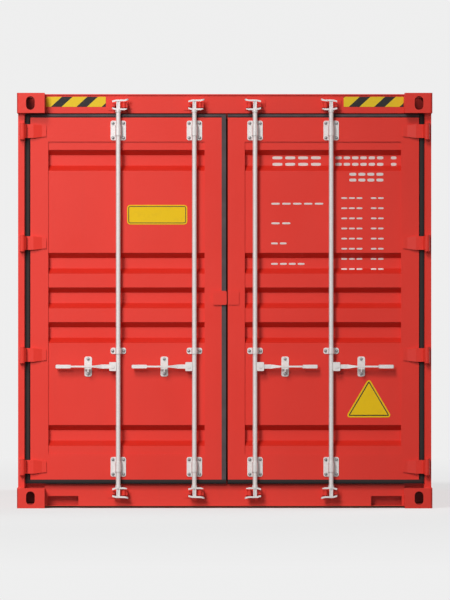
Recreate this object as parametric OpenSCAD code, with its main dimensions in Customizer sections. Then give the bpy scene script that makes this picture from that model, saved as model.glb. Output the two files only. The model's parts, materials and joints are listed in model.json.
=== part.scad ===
// Twenty foot dry freight container, eight feet wide and eight feet high.
// The door end faces -Y, +X is to the right when looking at the doors, +Z is up.
// The origin is on the ground under the middle of the container. Millimetres.

/* [Overall] */
// Length over the corner castings
length = 6058; // [4800:1:7200]
// Width over the corner castings
width = 2438; // [2250:1:2700]
// Height over the corner castings
height = 2438; // [2250:1:2900]
// How far the side walls and posts stand inside the faces of the castings
side_inset = 6; // [3:0.5:15]
// How far the roof and its rails lie below the tops of the castings
roof_drop = 6; // [3:0.5:15]
// How far the bottom rails hang clear of the ground
ground_clearance = 12; // [6:0.5:25]

/* [Corner castings] */
// Length of a casting along the container
cast_l = 178; // [165:1:200]
// Width of a casting across the container
cast_w = 162; // [150:1:180]
// Height of a casting
cast_h = 118; // [108:1:130]
// Wall that holds the slot
cast_slot_wall = 28; // [20:0.5:36]
// Wall at the side of the container
cast_side_wall = 15; // [10:0.5:20]
// Wall at the end of the container
cast_end_wall = 16; // [10:0.5:20]
// Walls turned towards the container
cast_inner_wall = 9; // [6:0.5:12]
// Radius of the outer upright edge
cast_edge_r = 14; // [6:0.5:20]
// Length of the slot for a twist lock
slot_l = 124.5; // [115:0.5:130]
// Width of the slot for a twist lock
slot_w = 63.5; // [56:0.5:66]
// Slot centre from the side face
slot_side = 89.5; // [84:0.5:94]
// Slot centre from the end face
slot_end = 102.5; // [96:0.5:106]
// Width of the hole in the end face
end_hole_w = 51; // [44:0.5:56]
// Height of the holes in the end and side faces
face_hole_h = 79.5; // [70:0.5:82]
// Length of the hole in the side face
side_hole_w = 63.5; // [56:0.5:66]
// End hole centre from the side face
end_hole_side = 79; // [74:0.5:84]
// Side hole centre from the end face
side_hole_end = 89; // [84:0.5:98]
// Centre of the face holes above the slot face
face_hole_z = 60; // [57:0.5:64]

/* [Rear frame] */
// How far the front face of a rear post lies behind the castings
post_setback = 48; // [42:0.5:54]
// Width of the strip of post that shows beside the door
post_lip_w = 37; // [32:0.5:42]
// Thickness of the outer steel of a rear post
post_outer_t = 12; // [8:0.5:14]
// Thickness of the inner steel of a rear post
post_inner_t = 10; // [6:0.5:12]
// Width of a rear post
post_w = 43; // [41:0.5:50]
// How far the door stop of a post lies behind its front face
stop_depth = 29; // [26:0.5:34]
// How far the header and sill faces lie behind the castings
header_setback = 104; // [100:0.5:108]
// Wall of the header and of the sill
header_wall = 4.5; // [3:0.5:8]
// Top of the sill above the castings below
sill_rise = 22; // [16:0.5:30]
// Depth of the stop behind the doors, from front to back
inner_stop_d = 54; // [46:0.5:58]
// How far the stop hangs below the header
header_stop_h = 30; // [26:0.5:40]
// Width of a notch in the sill
notch_w = 180; // [140:1:220]
// Height of a notch in the sill
notch_h = 59; // [40:1:66]
// Depth of a notch behind the face of the sill
notch_d = 44; // [30:1:60]
// Distance from a casting to the notch
notch_gap = 17; // [10:1:40]
// How far the gutter over the doors stands out from the header
gutter_out = 8; // [4:0.5:12]
// Thickness of the gutter
gutter_t = 6; // [4:0.5:8]

/* [Front end] */
// Thickness of the pressed steel of a front post
front_post_t = 6; // [4:0.5:8]
// Width of a front post
front_post_w = 93; // [80:1:110]
// How far the front wall and posts lie behind the castings
front_setback = 8; // [4:0.5:15]
// Depth of the front rails
front_rail_d = 60; // [50:1:75]

/* [Rails and base] */
// Width and height of a top side rail
top_rail_w = 60; // [50:1:70]
// Wall of a top side rail
top_rail_wall = 3; // [2:0.5:5]
// Height of a bottom side rail
base_rail_h = 162; // [150:1:180]
// Top of the cross members below the top of a bottom side rail
floor_drop = 40; // [37:0.5:46]
// Width of a bottom side rail
base_rail_w = 48; // [40:1:60]
// Thickness of a bottom side rail and of the pocket straps
base_rail_t = 4.5; // [3:0.5:6]
// Distance between cross members
member_pitch = 300; // [250:1:350]
// Width of a cross member's flanges
member_w = 45; // [35:1:60]
// Thickness of the cross members and pocket walls
member_t = 4; // [3:0.5:6]
// Clear width of a fork pocket
pocket_w = 360; // [320:1:400]
// Clear height of a fork pocket
pocket_h = 115; // [105:1:118]
// Distance between the middles of the two fork pockets
pocket_spacing = 2050; // [1900:1:2200]
// Length of the strap under each end of a pocket
pocket_strap_l = 200; // [120:1:260]

/* [Floor] */
// Thickness of the plywood floor
floor_t = 28; // [24:0.5:32]
// Gap between the floor and the side rails
floor_side_gap = 2; // [0.5:0.5:4]
// Width of the steel rail along the middle of the floor
centre_rail_w = 74; // [60:1:100]
// Thickness of the rail along the middle of the floor
centre_rail_t = 4; // [3:0.5:6]

/* [Corrugated sheets] */
// Thickness of the wall, roof and door sheets
sheet_t = 2; // [1.5:0.5:3]
// Outer flat of a side wall corrugation
side_crest = 72; // [60:1:90]
// Slope of a side wall corrugation, measured along the wall
side_slope = 68; // [50:1:80]
// Inner flat of a side wall corrugation
side_valley = 70; // [60:1:90]
// Depth of a side wall corrugation
side_depth = 36; // [26:1:37]
// Outer flat of a front wall corrugation
front_crest = 110; // [90:1:130]
// Slope of a front wall corrugation, measured along the wall
front_slope = 18; // [14:1:40]
// Inner flat of a front wall corrugation
front_valley = 104; // [90:1:130]
// Depth of a front wall corrugation
front_depth = 45.6; // [36:0.2:48]
// Upper flat of a roof corrugation
roof_crest = 91; // [80:1:110]
// Slope of a roof corrugation, measured along the roof
roof_slope = 13.5; // [12:0.5:30]
// Lower flat of a roof corrugation
roof_valley = 91; // [80:1:110]
// Depth of a roof corrugation
roof_depth = 20; // [14:0.5:26]
// Flat of the roof beside its rails
roof_margin = 46; // [30:1:80]
// Slope at the ends of a roof corrugation
roof_end_slope = 30; // [20:1:50]
// Thickness of the plates beside the top castings
corner_plate_t = 3; // [2:0.5:5]
// Length of a corner plate along the container
corner_plate_l = 150; // [110:1:170]
// Width of a corner plate across the container
corner_plate_w = 276; // [200:1:320]
// How far the corner plates stand above the roof rails
corner_plate_rise = 1; // [0.5:0.5:2]

/* [Doors] */
// How far the faces of the doors lie behind the castings
door_setback = 69; // [66:0.5:71]
// Thickness of a door frame
door_t = 50; // [44:0.5:50]
// Wall of the door frame tubes
door_tube_t = 3.2; // [2:0.1:5]
// Distance from the door steel to the rear post
door_side_gap = 35; // [32:0.5:40]
// Distance from the door steel to the header
door_top_gap = 26; // [20:0.5:30]
// Distance from the door steel to the sill
door_bottom_gap = 28; // [20:0.5:34]
// Half of the distance between the two doors
door_half_gap = 18; // [17:0.5:22]
// Width of the stile at the hinges
hinge_stile_w = 105; // [98:1:115]
// Width of the stile in the middle of the container
lock_stile_w = 100; // [90:1:112]
// Height of the top rail of a door
door_top_rail_h = 142; // [134:1:160]
// Height of the bottom rail of a door
door_bottom_rail_h = 150; // [140:1:170]
// How far the flat sheet of a door lies behind its frame
panel_inset = 8; // [5:0.5:10]
// Full height of a pressed groove
groove_h = 123; // [110:1:130]
// Height of the flat at the bottom of a groove
groove_flat_h = 61; // [50:1:70]
// Depth of a groove
groove_depth = 36; // [28:1:37]
// Distance from one middle groove to the next
groove_pitch = 203.5; // [190:0.5:215]
// Distance from the frame to the middle of the top or bottom groove
groove_edge = 109; // [90:1:130]

/* [Door seals] */
// Clearance between a moving piece and what it passes
clearance = 5; // [5:0.5:7]
// Thickness of the lip of a seal
seal_lip_t = 2.5; // [2:0.25:3]
// How far a seal lies below the face of its door
seal_inset = 0.5; // [0.25:0.25:1]
// Width of the groove between a seal and the steel of its door
seal_groove_w = 6; // [4:0.5:8]
// Depth of the groove beside a seal
seal_groove_d = 12; // [8:0.5:16]
// How far the seal of the left door reaches past the middle
centre_seal_reach = 8; // [4:0.5:8]
// Width of the plate that covers the gap at the middle
overlap_w = 82; // [70:1:95]
// Height of the plate that covers the gap at the middle
overlap_h = 82; // [70:1:100]
// Thickness of the raised half of the plate
overlap_t = 12; // [9:0.5:16]
// Thickness of the flat half of the plate
overlap_pad_t = 6; // [4:0.5:8]
// Width of the flat half of the plate
overlap_pad_w = 67; // [55:1:80]
// Radius of the plate corners
overlap_r = 8; // [4:0.5:12]
// Gap between the raised half and the steel of the right door
overlap_end_gap = 6; // [5:0.5:8]
// Middle of the plate above the middle of the door
overlap_rise = 4; // [0:1:20]

/* [Hinges] */
// Diameter of a hinge pin
pin_d = 20; // [16:0.5:22]
// Gap between a pin and its bore, on each side
pin_gap = 0.1; // [0.05:0.05:0.3]
// Pin centre in from the outer face of the post
pin_inset = 25; // [24:0.5:27]
// Pin centre ahead of the post
pin_ahead = 28; // [27:0.5:31]
// Diameter of the knuckle round the pin
knuckle_d = 30; // [26:0.5:32]
// Height of the knuckle
knuckle_h = 80; // [70:1:90]
// Thickness of a hinge lug
lug_t = 8; // [6:0.5:12]
// Gap between a lug and the knuckle
lug_gap = 0.5; // [0.25:0.25:1]
// How far the foot of a lug stands back from its round end
lug_step = 3; // [1:0.5:5]
// Length of the flat of a blade at full thickness
blade_flat_l = 48; // [40:1:60]
// Length of the sloped part of a blade
blade_slope_l = 50; // [40:1:60]
// Length of the thin tip of a blade
blade_tip_l = 26; // [20:1:32]
// Thickness of a blade on the door
blade_t = 18; // [14:0.5:19]
// Thickness of a blade at its tip
blade_tip_t = 8; // [5:0.5:10]
// Thickness of the neck between the knuckle and the blade
neck_t = 7; // [5:0.5:7]
// Height of a blade at its tip
blade_tip_h = 62; // [50:1:70]
// Bottom hinge above the bottom of the door
hinge_bottom = 75; // [65:1:90]
// Top hinge below the top of the door
hinge_top = 80; // [65:1:90]
// Number of hinges on a door
hinge_count = 4; // [3:1:5]

/* [Locking bars] */
// Diameter of a locking bar
bar_d = 27; // [22:0.5:32]
// Inner bars from the middle of the container
inner_bar_x = 178; // [170:0.5:190]
// Outer bars from the hinge edge of the door
outer_bar_edge = 516; // [490:0.5:540]
// Bar centre ahead of the door face
bar_ahead = 35; // [33:0.5:36]
// Gap between a bar and its bearings, on each side
bar_gap = 0.1; // [0.05:0.05:0.3]
// Width of a bearing round a bar
bearing_w = 37; // [33:0.5:42]
// Length of the upper and lower bearings
bearing_l = 60; // [40:1:70]
// Width of the bracket plates
bracket_w = 90; // [80:1:100]
// Height of the upper and lower bracket plates
bracket_h = 115; // [100:1:125]
// Thickness of the bracket plates
bracket_t = 5; // [4:0.5:8]
// Radius of the bracket corners
bracket_r = 12; // [6:0.5:16]
// Upper bracket below the top of the door
bracket_top = 76; // [68:1:80]
// Lower bracket above the bottom of the door
bracket_bottom = 75; // [65:1:80]
// Height of the middle bracket
mid_bracket_h = 36; // [30:1:44]
// Middle bracket below the middle of the door
mid_bracket_drop = 307; // [300:1:320]
// Middle of a cam from the edge of the header or sill
cam_edge = 48; // [44:0.5:52]
// Thickness of a cam prong
prong_t = 10; // [6:0.5:11]
// Reach of the longer prong towards the middle of the container
prong_reach = 60; // [50:0.5:61]
// Reach of the shorter prong
short_reach = 52; // [44:0.5:56]
// Length of the bent tip of the longer prong
horn_l = 24; // [16:0.5:30]
// Rise of the bent tip
horn_rise = 6; // [3:0.5:8]
// Reach of a cam away from the middle
cam_back = 35; // [30:0.5:40]
// How much closer the prongs lie on the side away from the middle
cam_pinch = 6; // [3:0.5:8]
// Width of a prong from front to back
prong_w = 28; // [24:0.5:34]
// Width and depth of the web between the prongs
cam_web = 21; // [16:0.5:21]
// Width of the groove down the front of a web
web_groove_w = 6; // [4:0.5:8]
// Depth of the groove down the front of a web
web_groove_d = 5; // [3:0.5:7]
// Diameter of the collar that holds a cam on its bar
collar_d = 34; // [29:0.5:36]
// Length of the collar
collar_l = 16; // [10:0.5:20]
// Height of a keeper lug
keeper_h = 32; // [24:0.5:34]
// Near side of a keeper lug from the bar
keeper_near = 20; // [19.5:0.5:24]
// Width of a keeper lug
keeper_w = 34; // [30:0.5:36]
// Diameter of the round front of a keeper lug
keeper_boss_d = 26; // [20:0.5:30]
// Thickness of a keeper base
keeper_base_t = 4; // [3:0.5:5]
// Width of the ear on the other side of the cam
ear_w = 18; // [14:0.5:20]
// Distance from the front of the ear back to the axis of the bar
ear_back = 12; // [8:0.5:20]
// Width of a keeper base
keeper_base_w = 120; // [100:1:140]
// Height of a keeper base
keeper_base_h = 64; // [50:1:70]

/* [Handles] */
// Handles below the middle of the door
handle_drop = 399; // [390:1:420]
// Distance from a handle's tip to the next bar
handle_tip_gap = 78; // [60:1:100]
// Height of a handle beside its fork, and its depth past the twist
handle_h = 24; // [20:0.5:28]
// Thickness of a handle beside its fork, and its height past the twist
handle_t = 10; // [8:0.5:12]
// Where the twist of a handle starts, from the bar
twist_x = 96; // [84:1:110]
// Length of the twist
twist_l = 52; // [36:1:60]
// Length of the grip
grip_l = 92; // [80:1:110]
// Height of the grip
grip_h = 21; // [18:0.5:26]
// Depth of the grip
grip_t = 18; // [14:0.5:22]
// Radius of the ends of the grip
grip_r = 8; // [4:0.5:9]
// Handle pivot from the bar
pivot_x = 32; // [30:0.5:36]
// Diameter of the handle pivot
pivot_d = 12; // [10:0.5:14]
// Height of the fork that holds the handle
fork_h = 52; // [46:1:60]
// Length of the fork
fork_l = 42; // [38:1:46]
// How far the fork reaches into its bar
fork_bite = 2.5; // [1:0.5:4]
// Thickness of the back of the fork
fork_back_t = 5; // [4:0.5:6]
// Radius of the corners of the fork
fork_r = 6; // [3:0.5:10]
// Diameter of the heads of the pivot
pivot_head_d = 22; // [18:0.5:26]
// Thickness of the heads of the pivot
pivot_head_t = 4; // [2:0.5:6]
// Thickness of an ear of the fork
ear_t = 7; // [5:0.5:9]
// Gap between the handle and the ears of the fork, on each side
ear_gap = 0.5; // [0.25:0.25:1]
// Retainer plates from the bar
retainer_x = 177; // [160:1:200]
// Width of a retainer plate
retainer_w = 44; // [36:1:50]
// Height of a retainer plate
retainer_h = 117; // [100:1:125]
// Radius of the corners of a retainer plate
retainer_r = 12; // [6:0.5:18]
// Width of the shelf below a handle
shelf_w = 34; // [26:1:40]
// Thickness of the shelf below a handle
shelf_t = 6; // [4:0.5:8]
// Height of the seal lug
seal_lug_h = 18; // [14:1:22]
// Thickness of the seal lug
seal_lug_t = 6; // [4:0.5:8]
// Diameter of the seal hole
seal_hole_d = 9; // [6:0.5:11]

/* [Hidden] */
$fn = 48;
cut = 1;
side_x = width / 2 - side_inset;
rear_y = -length / 2;
inner_end_y = length / 2 - cast_l;
casting_x = width / 2 - cast_w;
lower_z = cast_h;
upper_z = height - cast_h;
roof_z = height - roof_drop;
roof_x = side_x - top_rail_w;
roof_sheet_z = roof_z + corner_plate_rise - corner_plate_t;
base_z = ground_clearance;
base_rail_z = base_z + base_rail_h;
floor_z = base_rail_z - floor_drop;
member_z = base_z + base_rail_t;
post_y = rear_y + post_setback;
stop_y = post_y + stop_depth;
lip_x = side_x - post_lip_w;
web_x = side_x - post_w;
header_y = rear_y + header_setback;
inner_stop_y = -inner_end_y - inner_stop_d;
sill_z = lower_z + sill_rise;
sill_step_z = floor_z + floor_t;
front_face_y = length / 2 - front_setback;
front_rail_y = front_face_y - front_rail_d;
front_edge_x = side_x - front_post_w;
door_y = rear_y + door_setback;
door_back_y = door_y + door_t;
door_edge_x = lip_x - door_side_gap;
door_top_z = upper_z - door_top_gap;
door_bottom_z = sill_z + door_bottom_gap;
door_h = door_top_z - door_bottom_z;
door_middle_z = (door_top_z + door_bottom_z) / 2;
panel_left_x = door_half_gap + lock_stile_w;
panel_right_x = door_edge_x - hinge_stile_w;
panel_bottom_z = door_bottom_z + door_bottom_rail_h;
panel_top_z = door_top_z - door_top_rail_h;
panel_y = door_y + panel_inset;
grooves_z = (panel_bottom_z + panel_top_z) / 2;
pin_x = side_x - pin_inset;
pin_y = post_y - pin_ahead;
hinge_low_z = door_bottom_z + hinge_bottom;
hinge_step = (door_h - hinge_bottom - hinge_top) / (hinge_count - 1);
outer_bar_x = door_edge_x - outer_bar_edge;
bar_xs = [inner_bar_x, outer_bar_x];
bar_y = door_y - bar_ahead;
bracket_zs = [door_bottom_z + bracket_bottom, door_top_z - bracket_top];
mid_bracket_z = door_middle_z - mid_bracket_drop;
prong_gap = keeper_h + 2 * clearance;
ear_h = prong_gap - 2 * cam_pinch - 2 * clearance;
cam_middle = (prong_gap + prong_t) / 2;
lower_cam_z = sill_z - cam_edge;
upper_cam_z = upper_z + cam_edge;
handle_z = door_middle_z - handle_drop;
handle_l = outer_bar_x - inner_bar_x - handle_tip_gap;
fork_near = bar_d / 2 - fork_bite;
fork_t = handle_t + 2 * (ear_gap + ear_t);

paint = [0.85, 0.23, 0.20];
zinc = [0.82, 0.82, 0.80];
rubber = [0.14, 0.13, 0.14];
plywood = [0.62, 0.45, 0.28];

// A copy on each side of the container
module both_sides() {
    children();
    mirror([1, 0, 0]) children();
}

// A copy at each end of the container
module both_ends() {
    children();
    mirror([0, 1, 0]) children();
}

// The same piece on the left door
module to_left() {
    mirror([1, 0, 0]) children();
}

// A block between two corners
module block(from, to) {
    translate(from) cube(to - from);
}

// A block with one wall thickness all round, open at both ends along X
module tube_x(from, to, wall) {
    difference() {
        block(from, to);
        block(from + [-cut, wall, wall], to - [-cut, wall, wall]);
    }
}

// Extrudes a Y, Z outline along X between two stations
module along_x(from, to) {
    translate([from, 0, 0]) rotate([90, 0, 90]) linear_extrude(to - from) children();
}

// A rectangle with round corners, its middle at the origin
module rounded_rect(w, h, r) {
    square([w - 2 * r, h], center = true);
    square([w, h - 2 * r], center = true);
    for (x = [-1, 1], y = [-1, 1])
        translate([x * (w / 2 - r), y * (h / 2 - r)]) circle(r);
}

// A plate against a wall, its outer face towards -Y
module wall_plate(x, y, z, w, h, t, r) {
    translate([x, y, z]) rotate([90, 0, 0]) linear_extrude(t) rounded_rect(w, h, r);
}

// A slot along Y with round ends, cut along Z
module slot_along_y(l, w, depth) {
    for (end = [-1, 1])
        translate([0, end * (l - w) / 2, 0]) cylinder(d = w, h = depth);
    translate([-w / 2, -(l - w) / 2, 0]) cube([w, l - w, depth]);
}

function unit(v) = v / norm(v);
function side_normal(a, b) = let (d = unit(b - a)) [-d[1], d[0]];
function shifted(p, i, t) =
    let (
        last = len(p) - 1,
        before = side_normal(p[max(i - 1, 0)], p[max(i, 1)]),
        after = side_normal(p[min(i, last - 1)], p[min(i + 1, last)])
    )
    p[i] + t * (before + after) / (1 + before * after);

// A bent sheet of even thickness that follows an outline
module bent_sheet(p, t) {
    polygon(concat(p, [for (i = [len(p) - 1 : -1 : 0]) shifted(p, i, t)]));
}

// A corrugated outline: flats at the outer level at both ends, waves between them
function waves(total, crest, slope, valley, depth) =
    let (
        pitch = crest + valley + 2 * slope,
        n = floor((total - crest) / pitch),
        margin = (total - n * pitch + crest) / 2
    )
    concat(
        [[0, 0]],
        [for (i = [0 : n - 1], k = [0 : 3])
            [margin + i * pitch + [0, slope, slope + valley, 2 * slope + valley][k],
             k == 0 || k == 3 ? 0 : depth]],
        [[total, 0]]
    );

// One casting at the door end on the right, its slot face at z = 0
module casting() {
    corner = [width / 2, rear_y, 0];
    difference() {
        translate([casting_x, rear_y, 0]) linear_extrude(cast_h) difference() {
            square([cast_w, cast_l]);
            translate([cast_w - cast_edge_r, 0]) difference() {
                translate([0, -cut]) square(cast_edge_r + cut);
                translate([0, cast_edge_r]) circle(cast_edge_r);
            }
        }
        block([casting_x + cast_inner_wall, rear_y + cast_end_wall, cast_slot_wall],
            [width / 2 - cast_side_wall, -inner_end_y - cast_inner_wall,
             cast_h - cast_inner_wall]);
        translate(corner + [-slot_side, slot_end, -cut])
            slot_along_y(slot_l, slot_w, cast_slot_wall + 2 * cut);
        translate(corner + [-end_hole_side, -cut, face_hole_z]) rotate([-90, 0, 0])
            slot_along_y(face_hole_h, end_hole_w, cast_end_wall + 2 * cut);
        translate(corner + [-cast_side_wall - cut, side_hole_end, face_hole_z])
            rotate([0, 90, 0]) slot_along_y(face_hole_h, side_hole_w, cast_side_wall + 2 * cut);
    }
}

module bottom_corner_castings() {
    color(paint) both_ends() both_sides() casting();
}

module top_corner_castings() {
    color(paint) translate([0, 0, height]) mirror([0, 0, 1]) both_ends() both_sides() casting();
}

// Two pressed sections welded into one closed post
module rear_post() {
    inner_lip_x = lip_x + post_inner_t;
    translate([0, 0, lower_z]) linear_extrude(upper_z - lower_z) difference() {
        polygon([[lip_x, post_y], [side_x, post_y], [side_x, -inner_end_y],
            [web_x, -inner_end_y], [web_x, stop_y], [lip_x, stop_y]]);
        polygon([[inner_lip_x, post_y + post_outer_t],
            [side_x - post_outer_t, post_y + post_outer_t],
            [side_x - post_outer_t, -inner_end_y - post_inner_t],
            [web_x + post_inner_t, -inner_end_y - post_inner_t],
            [web_x + post_inner_t, stop_y + post_inner_t],
            [inner_lip_x, stop_y + post_inner_t]]);
    }
}

module rear_posts() {
    color(paint) both_sides() rear_post();
}

// A front post pressed from one plate, open towards the inside
module front_post() {
    front_post_line = [[side_x, inner_end_y], [side_x, front_face_y],
        [front_edge_x, front_face_y], [front_edge_x, front_face_y - front_depth]];
    translate([0, 0, lower_z]) linear_extrude(upper_z - lower_z)
        bent_sheet(front_post_line, front_post_t);
}

module front_posts() {
    color(paint) both_sides() front_post();
}

module door_header() {
    color(paint) union() {
        tube_x([-casting_x, header_y, upper_z], [casting_x, -inner_end_y, roof_z], header_wall);
        tube_x([-web_x, inner_stop_y, upper_z - header_stop_h],
            [web_x, -inner_end_y, upper_z], header_wall);
        block([-casting_x, header_y - gutter_out, roof_z - gutter_t],
            [casting_x, header_y + header_wall, roof_z]);
    }
}

// The sill with a notch near each casting, open towards the road
module door_sill() {
    notch_x = casting_x - notch_gap - notch_w;
    color(paint) difference() {
        union() {
            tube_x([-casting_x, header_y, base_z], [casting_x, -inner_end_y, sill_z],
                header_wall);
            tube_x([-web_x, inner_stop_y, lower_z], [web_x, -inner_end_y, sill_step_z],
                header_wall);
        }
        both_sides() block([notch_x, header_y - cut, base_z - cut],
            [notch_x + notch_w, header_y + notch_d, base_z + notch_h]);
    }
}

module front_header() {
    color(paint) tube_x([-casting_x, front_rail_y, upper_z], [casting_x, front_face_y, roof_z],
        header_wall);
}

module front_sill() {
    color(paint) union() {
        tube_x([-casting_x, front_rail_y, base_z], [casting_x, front_face_y, lower_z],
            header_wall);
        tube_x([-front_edge_x, front_rail_y, lower_z],
            [front_edge_x, front_face_y, base_rail_z], header_wall);
    }
}

module top_side_rails() {
    inside = [top_rail_wall, -cut, top_rail_wall];
    color(paint) both_sides() difference() {
        block([side_x - top_rail_w, -inner_end_y, roof_z - top_rail_w],
            [side_x, inner_end_y, roof_z]);
        block([side_x - top_rail_w, -inner_end_y, roof_z - top_rail_w] + inside,
            [side_x, inner_end_y, roof_z] - inside);
    }
}

// Pressed channels, open towards the inside and cut through for the forks
module bottom_side_rails() {
    inner_x = side_x - base_rail_w;
    color(paint) both_sides() difference() {
        block([inner_x, -inner_end_y, base_z], [side_x, inner_end_y, base_rail_z]);
        block([inner_x - cut, -inner_end_y - cut, base_z + base_rail_t],
            [side_x - base_rail_t, inner_end_y + cut, base_rail_z - base_rail_t]);
        both_ends() block([inner_x - cut, pocket_spacing / 2 - pocket_w / 2, member_z],
            [side_x + cut, pocket_spacing / 2 + pocket_w / 2, member_z + pocket_h]);
    }
}

// Channels across the base, left out where the pockets are
module cross_members() {
    reach = side_x - base_rail_t;
    member_h = floor_z - member_z;
    pocket_reach = pocket_w / 2 + member_t + member_w + clearance;
    n = floor((inner_end_y - member_w - clearance) / member_pitch);
    channel = [[0, 0], [member_w, 0], [member_w, member_t], [member_t, member_t],
        [member_t, member_h - member_t], [member_w, member_h - member_t],
        [member_w, member_h], [0, member_h]];
    color(paint) for (i = [-n : n])
        if (abs(abs(i * member_pitch) - pocket_spacing / 2) > pocket_reach)
            translate([0, i * member_pitch - member_w / 2, member_z])
                along_x(-reach, reach) polygon(channel);
}

// A pocket: two walls, a top plate and a strap under each end
module fork_pocket() {
    reach = side_x - base_rail_t;
    near = pocket_spacing / 2 - pocket_w / 2;
    far = pocket_spacing / 2 + pocket_w / 2;
    for (y = [near - member_t, far])
        block([-reach, y, member_z], [reach, y + member_t, floor_z]);
    block([-reach, near - member_t, member_z + pocket_h], [reach, far + member_t, floor_z]);
    both_sides() block([side_x - base_rail_w - pocket_strap_l, near - member_t, base_z],
        [side_x - base_rail_w, far + member_t, member_z]);
}

module fork_pockets() {
    color(paint) both_ends() fork_pocket();
}

module floor_boards() {
    edge_x = side_x - base_rail_w - floor_side_gap;
    color(plywood) both_sides() block([centre_rail_w / 2, -inner_end_y, floor_z],
        [edge_x, front_rail_y, sill_step_z]);
}

module floor_centre_rail() {
    half = centre_rail_w / 2;
    color(paint) difference() {
        block([-half, -inner_end_y, floor_z], [half, front_rail_y, sill_step_z]);
        block([centre_rail_t - half, -inner_end_y - cut, floor_z - cut],
            [half - centre_rail_t, front_rail_y + cut, sill_step_z - centre_rail_t]);
    }
}

module side_walls() {
    wall_l = 2 * inner_end_y;
    color(paint) both_sides() translate([side_x, -inner_end_y, base_rail_z])
        linear_extrude(roof_z - top_rail_w - base_rail_z) rotate(90)
            bent_sheet(waves(wall_l, side_crest, side_slope, side_valley, side_depth), sheet_t);
}

module front_wall() {
    color(paint) translate([front_edge_x, front_face_y, base_rail_z])
        linear_extrude(upper_z - base_rail_z) rotate(180)
            bent_sheet(waves(2 * front_edge_x, front_crest, front_slope, front_valley,
                front_depth), sheet_t);
}

// The space of the roof troughs: a drop below the roof, wider all round by a grow
module roof_troughs(drop, grow) {
    pitch = roof_crest + roof_valley + 2 * roof_slope;
    n = floor((2 * inner_end_y - roof_crest) / pitch);
    half = roof_valley / 2 + roof_slope;
    top_x = roof_x - roof_margin;
    side = grow * norm([roof_slope, roof_depth]) / roof_depth;
    end = grow * norm([roof_end_slope, roof_depth]) / roof_depth;
    steps = [cut, -drop];
    function run(slope) = [for (z = steps) z * slope / roof_depth];
    intersection() {
        along_x(-roof_x, roof_x) for (i = [0 : n - 1]) translate([(i - (n - 1) / 2) * pitch, 0])
            polygon([[-half - side - run(roof_slope)[0], steps[0]],
                [half + side + run(roof_slope)[0], steps[0]],
                [half + side + run(roof_slope)[1], steps[1]],
                [-half - side - run(roof_slope)[1], steps[1]]]);
        translate([0, inner_end_y, 0]) rotate([90, 0, 0]) linear_extrude(2 * inner_end_y)
            polygon([[-top_x - end - run(roof_end_slope)[0], steps[0]],
                [top_x + end + run(roof_end_slope)[0], steps[0]],
                [top_x + end + run(roof_end_slope)[1], steps[1]],
                [-top_x - end - run(roof_end_slope)[1], steps[1]]]);
    }
}

// Troughs pressed into a flat sheet, which runs on between the front castings
module roof_panel() {
    color(paint) translate([0, 0, roof_sheet_z]) difference() {
        union() {
            block([-roof_x, -inner_end_y, -sheet_t], [roof_x, inner_end_y, 0]);
            block([-casting_x, inner_end_y - cut, -sheet_t], [casting_x, front_rail_y, 0]);
            difference() {
                roof_troughs(roof_depth + sheet_t, sheet_t);
                block([-side_x, -inner_end_y - cut, 0], [side_x, inner_end_y + cut, 2 * cut]);
            }
        }
        roof_troughs(roof_depth, 0);
    }
}

module roof_corner_plates() {
    color(paint) both_sides() both_ends()
        block([roof_x - corner_plate_w, inner_end_y - corner_plate_l, roof_sheet_z],
            [roof_x, inner_end_y, roof_sheet_z + corner_plate_t]);
}

// A keeper: a base on the header or sill, a lug with a round front on one side of the bar
// and a plain ear on the other
module cam_keeper(x, z) {
    near = x - keeper_near;
    boss_y = bar_y - clearance + keeper_boss_d / 2;
    block([x - keeper_base_w / 2, header_y - keeper_base_t, z - keeper_base_h / 2],
        [x + keeper_base_w / 2, header_y, z + keeper_base_h / 2]);
    translate([0, 0, z - keeper_h / 2]) {
        block([near - keeper_w, boss_y, 0], [near, header_y - keeper_base_t, keeper_h]);
        translate([near - keeper_boss_d / 2, boss_y, 0])
            cylinder(d = keeper_boss_d, h = keeper_h);
    }
    block([x + keeper_near, bar_y + ear_back, z - ear_h / 2],
        [x + keeper_near + ear_w, header_y - keeper_base_t, z + ear_h / 2]);
}

module cam_keepers() {
    color(paint) both_sides() for (x = bar_xs, z = [lower_cam_z, upper_cam_z])
        cam_keeper(x, z);
}

// Two lugs on the post joined by the hinge pin
module hinge_lug(z) {
    half = knuckle_h / 2 + lug_gap;
    translate([pin_x, pin_y, z]) union() {
        cylinder(d = pin_d, h = 2 * (half + lug_t), center = true);
        for (low = [-half - lug_t, half]) translate([0, 0, low]) {
            cylinder(d = knuckle_d, h = lug_t);
            translate([lug_step - knuckle_d / 2, 0, 0])
                cube([knuckle_d - lug_step, pin_ahead, lug_t]);
        }
    }
}

module hinge_lugs() {
    color(paint) both_sides() for (i = [0 : hinge_count - 1])
        hinge_lug(hinge_low_z + i * hinge_step);
}

// Plan of a blade: u runs from the pin towards the middle, v towards the door
module blade_plan() {
    depth = door_y - pin_y;
    neck_u = pin_x - lip_x + clearance;
    neck_end = neck_u + neck_t;
    flat_end = neck_u + blade_flat_l;
    slope_end = flat_end + blade_slope_l;
    tip_end = slope_end + blade_tip_l;
    r = knuckle_d / 2;
    circle(r);
    polygon([[0, -r], [r * 0.7, -r * 0.8], [neck_end, r * 0.4], [neck_end, depth - blade_t],
        [flat_end, depth - blade_t], [slope_end, depth - blade_tip_t],
        [tip_end, depth - blade_tip_t], [tip_end, depth], [neck_u, depth],
        [neck_u, r * 0.8], [r * 0.6, r * 0.8], [0, r]]);
}

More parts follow.
